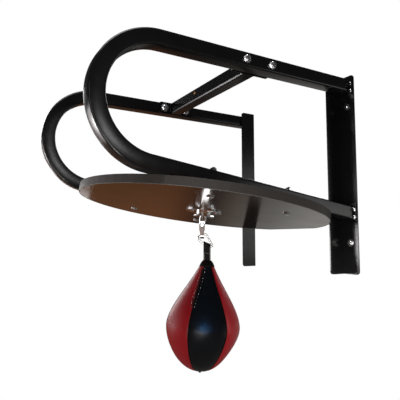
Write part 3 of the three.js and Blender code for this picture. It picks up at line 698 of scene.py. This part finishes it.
def rounded_ring(corners, steps):
    """A closed line in the x-z plane through rounded corners, each (x, z, radius) in millimetres."""
    points = []
    n = len(corners)
    at = [Vector((c[0] * MM, 0, c[1] * MM)) for c in corners]
    for i in range(n):
        here = at[i]
        into, out = (here - at[i - 1]).normalized(), (at[(i + 1) % n] - here).normalized()
        turn = math.acos(max(-1, min(1, into.dot(out))))
        r = corners[i][2] * MM
        start = here - into * r * math.tan(turn / 2)
        side = Vector((into.z, 0, -into.x))
        if side.dot(out) < 0:
            side.negate()
        centre = start + side * r
        for k in range(steps + 1):
            a = turn * k / steps
            points.append(centre - side * r * math.cos(a) + into * r * math.sin(a))
    return points


link = Build()
link.tube([hang @ p for p in rounded_ring(LINK_CORNERS, 10)], WIRE_R, 16, closed=True)
link_wire = link.make("link_wire", CHROME, "link", ("bag_link",))
bright_metal.objects.link(link_wire)


# ---------------------------------------------------------------- strap

STRAP_TUCK = 4 * MM  # how far the legs reach below the neck
LEG_GAP = 1.5 * MM
STRAP_EDGE_R = 0.9 * MM
LEG_STEPS = FOLD_STEPS = 14
strap_foot = -(BAG_DOWN + (fold.z - seat.z) + STRAP_TUCK)
legs_close = strap_foot * 0.42


def leg_offset(z):
    """How far each leg's centreline stands from the middle: together low down, round the link above."""
    s = max(0.0, 1 - z / legs_close)
    return LEG_GAP + (STRAP_FOLD_R - LEG_GAP) * s * s * (3 - 2 * s)


def strap_line():
    """Centreline of the folded strap, up one leg, over the link and down the other, as (y, z)."""
    heights = (strap_foot * (1 - i / LEG_STEPS) for i in range(LEG_STEPS + 1))
    leg = [(-leg_offset(z), z) for z in heights]
    turns = (math.pi * i / FOLD_STEPS for i in range(1, FOLD_STEPS))
    arc = [(-STRAP_FOLD_R * math.cos(a), STRAP_FOLD_R * math.sin(a)) for a in turns]
    return leg + arc + [(-y, z) for y, z in reversed(leg)]


def strap_point(x, y, z):
    """A point of the strap in the world; the fold slopes with the wire and levels out lower down."""
    fade = max(0.0, min(1.0, 1 - z / (strap_foot * 0.9)))
    return fold_frame @ Vector((x, y, z + STRAP_SLOPE * x * fade))


def make_strap():
    line = strap_line()
    section = rounded_outline(STRAP_WIDE, STRAP_THICK, STRAP_EDGE_R, 3)
    rings = []
    for i, (y, z) in enumerate(line):
        ya, za = line[max(i - 1, 0)]
        yb, zb = line[min(i + 1, len(line) - 1)]
        d = math.hypot(yb - ya, zb - za)
        ny, nz = (zb - za) / d, -(yb - ya) / d
        rings.append([strap_point(a, y + ny * b, z + nz * b) for a, b in section])
    build = Build()
    build.rings(rings)
    obj = build.make("strap_loop", STRAP, "bag", ("bag_loop",))
    subdivide(obj, 1)


def subdivide(obj, levels):
    m = obj.modifiers.new("round", "SUBSURF")
    m.levels = m.render_levels = levels


make_strap()


THREAD_R = 0.6 * MM
THREAD_ARCH, THREAD_SUNK = 1.5 * THREAD_R, 0.3 * THREAD_R
STITCH_LONG, STITCH_PITCH = 2.3 * MM, 3.2 * MM
STITCH_EDGE = STRAP_WIDE / 2 - 2.2 * MM
ROW_FOOT = 5 * MM  # the rows end this far above the legs' feet
CROSS_ROW = 0.43  # the cross row's share of the way down, as for the rows' tops below
CROSS_STITCHES, CROSS_INSET = 4, 1.4 * MM


def stitch(build, a, b, out):
    """One thread stitch from a to b, arched outwards along out."""
    points = [a.lerp(b, t) + out * (THREAD_ARCH * math.sin(math.pi * t) - THREAD_SUNK)
              for t in (0, 0.25, 0.5, 0.75, 1)]
    build.tube(points, THREAD_R, 6)


stitches = Build()
for face in (1, -1):
    out = e2 * face

    def on_strap(x, z):
        return strap_point(x, face * (leg_offset(z) + STRAP_THICK / 2), z)

    # the row on the right runs up to the fold, the one on the left only closes the legs
    for x, highest in ((-STITCH_EDGE, 0.44), (STITCH_EDGE, 0.06)):
        z = strap_foot * highest
        while z > strap_foot + ROW_FOOT:
            stitch(stitches, on_strap(x, z), on_strap(x, z - STITCH_LONG), out)
            z -= STITCH_PITCH
    for i in range(CROSS_STITCHES):
        x = -STITCH_EDGE + CROSS_INSET + i * STITCH_PITCH
        z = strap_foot * CROSS_ROW
        stitch(stitches, on_strap(x, z), on_strap(x + STITCH_LONG, z), out)
stitches.make("strap_stitches", THREAD, "bag")


# ---------------------------------------------------------------- bag

def bezier(p0, p1, p2, p3, t):
    s = 1 - t
    return tuple(
        s * s * s * a + 3 * s * s * t * b + 3 * s * t * t * c + t * t * t * d
        for a, b, c, d in zip(p0, p1, p2, p3))


# the bag's outline above and below its widest point, as (radius, depth) in millimetres
UPPER = ((12.5, -4), (40, 58), (85, 104), (90, 150))
LOWER = ((90, 150), (90, 196), (52, 257), (7, 257))
RINGS_UP, RINGS_DOWN = 30, 26
COLUMNS = 16  # round each panel
AROUND = COLUMNS * PANEL_COUNT

profile = [bezier(*UPPER, i / RINGS_UP) for i in range(RINGS_UP + 1)]
profile += [bezier(*LOWER, i / RINGS_DOWN) for i in range(1, RINGS_DOWN + 1)]
profile = [(r * MM, -z * MM) for r, z in profile]
first_seam = -math.pi / 2 + PANEL_PHASE - math.pi / PANEL_COUNT


def column_angle(c):
    return first_seam + 2 * math.pi * c / AROUND


def skin_faces():
    """The quads of the whole bag's surface, ring by ring."""
    faces = []
    for i in range(len(profile) - 1):
        for c in range(AROUND):
            here, beside = i * AROUND + c, i * AROUND + (c + 1) % AROUND
            faces.append((here, beside, beside + AROUND, here + AROUND))
    return faces


AIR_PRESSURE = 5
AIR_FRAMES = 20
END_RINGS = 3  # rings held still at the neck and the tip


def inflate(points):
    """Panels bulge between their seams: a short pressurised cloth run with the seams held."""
    mesh = bpy.data.meshes.new("bladder_run")
    count = len(profile)
    faces = skin_faces()
    faces.append(tuple(reversed(range(AROUND))))
    faces.append(tuple((count - 1) * AROUND + c for c in range(AROUND)))
    mesh.from_pydata(points, [], faces)
    face_outwards(mesh)
    obj = bpy.data.objects.new("bladder_run", mesh)
    bpy.context.scene.collection.objects.link(obj)
    held = obj.vertex_groups.new(name="held")
    for i in range(count):
        for c in range(AROUND):
            if c % COLUMNS == 0 or i < END_RINGS or i >= count - END_RINGS:
                held.add([i * AROUND + c], 1.0, "REPLACE")
    cloth = obj.modifiers.new("air", "CLOTH")
    hide = cloth.settings
    hide.quality = 6
    hide.mass = 0.3
    hide.tension_stiffness = hide.compression_stiffness = 40
    hide.shear_stiffness = 20
    hide.bending_stiffness = 2
    hide.use_pressure = True
    hide.uniform_pressure_force = AIR_PRESSURE
    hide.effector_weights.gravity = 0
    hide.vertex_group_mass = "held"
    scene = bpy.context.scene
    scene.frame_start, scene.frame_end = 1, AIR_FRAMES
    cloth.point_cache.frame_start, cloth.point_cache.frame_end = 1, AIR_FRAMES
    for f in range(1, AIR_FRAMES + 1):
        scene.frame_set(f)
    moved = obj.evaluated_get(bpy.context.evaluated_depsgraph_get()).data
    result = [v.co.copy() for v in moved.vertices]
    scene.frame_set(1)
    bpy.data.objects.remove(obj)
    return result


MOST_SWELL = 2.6 * MM  # no point of the cover moves further than this in the cloth run
SAG_FROM, SAG_OVER, SAG_SHARE = 155 * MM, 75 * MM, 0.085
SAG_TOWARDS = math.radians(-22)


def sag(depth, angle):
    """The cover is tighter low down on one side, where its panels are sewn a little narrower."""
    t = max(0.0, min(1.0, (depth - SAG_FROM) / SAG_OVER))
    return 1 - SAG_SHARE * t * t * (3 - 2 * t) * max(0.0, math.cos(angle - SAG_TOWARDS)) ** 1.5


def bag_points():
    """The cover's points, ring by ring in the bag's frame, swollen by the air inside."""
    rest = [
        Vector((r * math.cos(column_angle(c)), r * math.sin(column_angle(c)), z / sag(-z, column_angle(c))))
        * sag(-z, column_angle(c))
        for r, z in profile for c in range(AROUND)
    ]
    swollen = inflate([tuple(p) for p in rest])
    out = []
    for p, q in zip(rest, swollen):
        d = q - p
        out.append(p + d * min(1.0, MOST_SWELL / max(d.length, 1e-9)))
    return out


points = bag_points()


def bag_normal(i, c):
    """Outward direction of the bag at ring i, column c, in the bag's frame."""
    a, b = profile[max(i - 1, 0)], profile[min(i + 1, len(profile) - 1)]
    dr, dz = b[0] - a[0], b[1] - a[1]
    d = math.hypot(dr, dz)
    angle = column_angle(c)
    return Vector((-dz / d * math.cos(angle), -dz / d * math.sin(angle), dr / d))


SEAM_DIP, SEAM_SPREAD = 1.1 * MM, 0.09
PUCKER, PUCKER_EVERY = 0.35 * MM, 9 * MM
PUCKER_AT, PUCKER_SPREAD = 0.16, 0.12


def pull_in(i, share):
    """How far the cover is drawn in by its seam; share is 0 at the seam and 1 mid panel."""
    edge = math.exp(-(share / SEAM_SPREAD) ** 2)
    near = math.exp(-((share - PUCKER_AT) / PUCKER_SPREAD) ** 2)
    depth = -profile[i][1]
    return SEAM_DIP * edge + PUCKER * near * (0.5 + 0.5 * math.cos(2 * math.pi * depth / PUCKER_EVERY))


PIPING_R = 0.95 * MM
PANEL_GAP = 0.12 * MM  # half the gap between panels, filled by the piping
HIDE_THICK = 1.8 * MM
NARROW_R = 30 * MM  # the seams draw in less where the bag is narrower than this


surface_verts = []
for i in range(len(profile)):
    for c in range(AROUND):
        k = c % COLUMNS
        share = min(k, COLUMNS - k) / (COLUMNS / 2)
        small = min(1.0, profile[i][0] / NARROW_R)
        surface_verts.append(points[i * AROUND + c] - bag_normal(i, c) * pull_in(i, share) * small)

piping = Build()
for p in range(PANEL_COUNT):
    verts, faces = [], []
    for i in range(len(profile)):
        for k in range(COLUMNS + 1):
            c = (p * COLUMNS + k) % AROUND
            v = surface_verts[i * AROUND + c]
            if k in (0, COLUMNS):
                tangent = Vector((-math.sin(column_angle(c)), math.cos(column_angle(c)), 0))
                v = v + tangent * (PANEL_GAP if k == 0 else -PANEL_GAP)
            verts.append(bag_frame @ v)
    wide = COLUMNS + 1
    for i in range(len(profile) - 1):
        for k in range(COLUMNS):
            a = i * wide + k
            faces.append((a, a + 1, a + wide + 1, a + wide))
    black = p % 2 == 0
    obj = piece(f"cover_panel_{p + 1}", verts, faces, BLACK if black else RED, "bag",
                (f"bag_panel_{p + 1}",))
    (black_hide if black else red_hide).objects.link(obj)
    centre = bag_frame @ Vector((0, 0, -BAG_WIDEST))
    mid = obj.data.polygons[len(obj.data.polygons) // 2]
    if mid.normal.dot(mid.center - centre) < 0:
        obj.data.flip_normals()
    shell = obj.modifiers.new("hide_thickness", "SOLIDIFY")
    shell.thickness = HIDE_THICK
    shell.offset = -1
    subdivide(obj, 1)
    seam = [bag_frame @ surface_verts[i * AROUND + p * COLUMNS] for i in range(len(profile))]
    piping.tube(seam[1:-1], PIPING_R, 8)

BLADDER_INSET = 3.2 * MM
bladder_rings = []
for i in range(2, len(profile) - 2, 2):
    inset = min(BLADDER_INSET, profile[i][0] * 0.4)
    bladder_rings.append([
        bag_frame @ (surface_verts[i * AROUND + c] - bag_normal(i, c) * inset)
        for c in range(0, AROUND, 2)])
bladder = Build()
bladder.rings(bladder_rings)
bladder.make("bladder", RUBBER, "bag", ("bag_bladder",))
piping.make("seam_piping", BLACK, "bag")

# the surface, for laying the lace on it
tree = BVHTree.FromPolygons(surface_verts, skin_faces())


RAY_FROM = 200 * MM  # outside the bag everywhere


def on_bag(depth, angle, lift):
    """The point on the bag at a depth below the neck and an angle round it, lifted off the skin."""
    out = Vector((math.cos(angle), math.sin(angle), 0))
    hit, normal, _, _ = tree.ray_cast(Vector((0, 0, -depth)) + out * RAY_FROM, -out)
    if normal.dot(out) < 0:
        normal = -normal
    return bag_frame @ (hit + normal * lift), (bag_frame.to_3x3() @ normal)


def radius_at(depth):
    """The radius of the bag's outline at a depth below the neck."""
    for a, b in zip(profile, profile[1:]):
        if -a[1] <= depth <= -b[1] and b[1] != a[1]:
            t = (depth + a[1]) / (a[1] - b[1])
            return a[0] + (b[0] - a[0]) * t
    return profile[-1][0]


# ---------------------------------------------------------------- lacing down one seam

LACE_R = 1.15 * MM
LACE_HALF = 4.6 * MM
LACE_FROM, LACE_TO, LACE_STEP = 14 * MM, 98 * MM, 7 * MM
LACE_PARTS = 8
OVER, UNDER = 2.2, 1.2  # how high the two crossing laces arch, in lace radii
EYELET_R, EYELET_WIRE_R, EYELET_LIFT = 1.5 * MM, 0.45 * MM, 0.3 * MM

lace = Build()
eyelets = Build()
rows = int((LACE_TO - LACE_FROM) / LACE_STEP)
lace_seam = column_angle(0)
for row in range(rows + 1):
    depth = LACE_FROM + row * LACE_STEP
    half = LACE_HALF / radius_at(depth)
    for side in (-1, 1):
        hole, normal = on_bag(depth, lace_seam + side * half, EYELET_LIFT)
        u = normal.orthogonal().normalized()
        v = normal.cross(u)
        ring = [hole + (u * math.cos(a) + v * math.sin(a)) * EYELET_R
                for a in (2 * math.pi * k / 12 for k in range(12))]
        eyelets.tube(ring, EYELET_WIRE_R, 6, closed=True)
        if row < rows:
            next_half = LACE_HALF / radius_at(depth + LACE_STEP)
            path = []
            for step in range(LACE_PARTS + 1):
                t = step / LACE_PARTS
                lift = LACE_R * (0.1 + (UNDER if side > 0 else OVER) * math.sin(math.pi * t))
                angle = lace_seam + side * (half * (1 - t) - next_half * t)
                path.append(on_bag(depth + LACE_STEP * t, angle, lift)[0])
            lace.tube(path, LACE_R, 7)
lace.make("cover_lace", LACE, "bag")
bright_metal.objects.link(eyelets.make("lace_eyelets", ZINC, "bag"))


# ---------------------------------------------------------------- neck and tip of the bag

NECK_POINTS, WASHER_POINTS = 28, 24
NECK_SQUARENESS = 0.75  # 1 is an ellipse, less is nearer a rectangle
NECK_FOLDS = 7

# rings from the strap down over the neck: width, depth and height in millimetres, gathers in the hide
NECK = (
    (9.2, 4.4, 5, 0), (9.8, 5.4, 6.6, 0), (12.2, 9.6, 4.2, 0.02), (14.9, 14.1, 0.5, 0.03),
    (17.4, 17.1, -4.2, 0.03), (19.3, 19.1, -8.2, 0.03), (18.2, 18.0, -9.6, 0.03), (13, 13, -8, 0),
)
# rings of the washer round the valve: radius, and height above the tip, in millimetres
TIP_WASHER = ((5.0, -0.4), (10.5, -0.2), (11.3, 0.5), (10.2, 1.4), (5.0, 1.2))


def loft(name, rings_local, mat, body):
    """A skin through rings given in the bag's frame."""
    build = Build()
    build.rings([[bag_frame @ Vector(p) for p in ring] for ring in rings_local])
    subdivide(build.make(name, mat, body), 1)


def neck_ring(wide, deep, z, gathers):
    out = []
    for k in range(NECK_POINTS):
        a = 2 * math.pi * k / NECK_POINTS
        x = math.copysign(abs(math.cos(a)) ** NECK_SQUARENESS, math.cos(a)) * wide
        y = math.copysign(abs(math.sin(a)) ** NECK_SQUARENESS, math.sin(a)) * deep
        swell = 1 + gathers * math.cos(a * NECK_FOLDS)
        out.append((x * swell, y * swell, z))
    return out


def disc_ring(r, z):
    turns = (2 * math.pi * k / WASHER_POINTS for k in range(WASHER_POINTS))
    return [(r * math.cos(a), r * math.sin(a), z) for a in turns]


loft("neck_binding", [neck_ring(w * MM, d * MM, z * MM, gathers) for w, d, z, gathers in NECK],
     STRAP, "bag")
tip = profile[-1][1]
loft("tip_washer", [disc_ring(r * MM, tip + z * MM) for r, z in TIP_WASHER], BLACK, "bag")


# ---------------------------------------------------------------- inspection dot

STICKER = material("inspection_dot", (0.55, 0.27, 0.03), 0.5)
sticker_nodes = Nodes(STICKER)
sticker_nodes.colour(sticker_nodes.noise(600, 3), (0.45, 0.20, 0.02), (0.62, 0.33, 0.05))
sticker_nodes.bump(sticker_nodes.noise(1500, 2), 0.2, 0.0002)

DOT_R, DOT_THICK, DOT_STRETCH = 2.6 * MM, 0.25 * MM, 1.6
DOT_ALONG, DOT_RISE = -38 * MM, 4.8 * MM
DOT_DOME = ((1.0, 0.0), (1.0, 0.6), (0.9, 1.0), (0.45, 1.05))  # shares of its radius and thickness
DOT_POINTS = 24


def inspection_dot():
    """A thin domed oval dot on the room side of the brace."""
    at = Vector((DOT_ALONG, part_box("cross_brace")[0].y, top_run_z + DOT_RISE))
    long = DOT_R * DOT_STRETCH
    build = Build()
    rings = []
    for share, height in DOT_DOME:
        turns = (2 * math.pi * k / DOT_POINTS for k in range(DOT_POINTS))
        rings.append([
            at + Vector((math.cos(a) * long * share, -DOT_THICK * height, math.sin(a) * DOT_R * share))
            for a in turns])
    build.rings(rings)
    build.make("inspection_dot", STICKER, "frame")


inspection_dot()


# ---------------------------------------------------------------- floor

FLOOR_DROP = 1.05  # how far under the object it lies
FLOOR_R, FLOOR_SIDES, FLOOR_Y = 2.6, 96, -0.3
FLOOR_GLOW = 0.75


def make_floor():
    """A pale disc that only the camera sees, so that it doesn't colour the object."""
    mat = material("pale_floor", (0.78, 0.77, 0.75), 0.6)
    n = Nodes(mat)
    n.colour(n.noise(2.2, 4), (0.75, 0.74, 0.72), (0.82, 0.81, 0.79))
    n.shader.inputs["Emission Color"].default_value = (0.95, 0.95, 0.94, 1)
    n.shader.inputs["Emission Strength"].default_value = FLOOR_GLOW
    floor_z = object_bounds()[0].z - FLOOR_DROP
    bm = bmesh.new()
    bmesh.ops.create_circle(bm, cap_ends=True, segments=FLOOR_SIDES, radius=FLOOR_R)
    mesh = bpy.data.meshes.new("floor")
    bm.to_mesh(mesh)
    bm.free()
    mesh.materials.append(mat)
    floor = bpy.data.objects.new("floor", mesh)
    bpy.context.scene.collection.objects.link(floor)
    floor.location = (0, FLOOR_Y, floor_z)
    floor.visible_glossy = False
    floor.visible_diffuse = False


make_floor()
